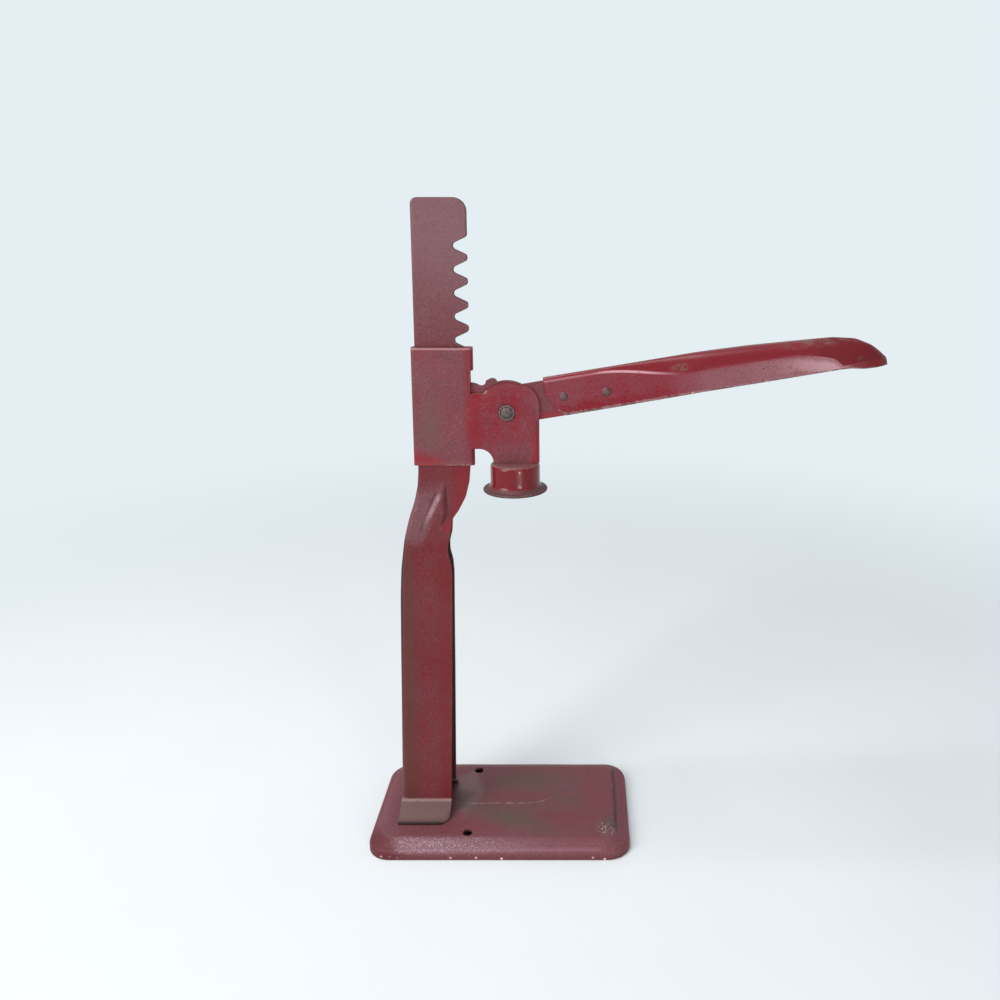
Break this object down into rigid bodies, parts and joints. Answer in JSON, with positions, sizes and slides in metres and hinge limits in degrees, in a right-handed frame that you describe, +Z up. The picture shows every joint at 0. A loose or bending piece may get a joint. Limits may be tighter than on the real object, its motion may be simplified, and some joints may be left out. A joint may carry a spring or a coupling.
{
  "type": "bottle capper",
  "caption": "Bench bottle capper: a toothed steel column on a screw-down base carries a sliding head with a crown-cap bell, driven by a geared hand lever.",
  "frame": {"origin": "on the plane of the base's underside, midway between its two screw holes", "axes": "+X from the column towards the bell and the handle, +Y away from the viewer along the line of the screw holes, +Z up along the column"},
  "size_m": [0.3309, 0.096, 0.4193],
  "materials": {
    "base_paint": "dusty, worn satin",
    "column_paint": "worn satin, dusty above",
    "head_paint": "worn satin",
    "bell_paint": "gloss with a worn rim",
    "plate_paint": "dull, worn at the teeth",
    "handle_paint": "gloss, worn along the ridge",
    "bare_rivet": "dull bare steel"
  },
  "bodies": {
    "stand": {"base_plate": "base_paint", "column": "column_paint"},
    "head": {"head_shell": "head_paint", "capping_bell": "bell_paint", "pivot_rivet": "bare_rivet", "pivot_washer_near": "head_paint", "pivot_washer_far": "head_paint"},
    "lever": {"lever_plate": "plate_paint", "handle_grip": "handle_paint", "handle_rivet_rear": "handle_paint", "handle_rivet_front": "handle_paint"}
  },
  "joints": [
    {"name": "head_slide", "type": "slide", "parent": "stand", "child": "head", "axis": [0, 0, 1], "range_m": [0, 0.038]},
    {"name": "lever_pivot", "type": "hinge", "parent": "head", "child": "lever", "pos_m": [0.027, 0, 0.2847], "axis": [0, 1, 0], "range_deg": [-80, 0]}
  ],
  "couplings": [
    {"joint": "head_slide", "follows": "lever_pivot", "m_per_rad": -0.027}
  ]
}
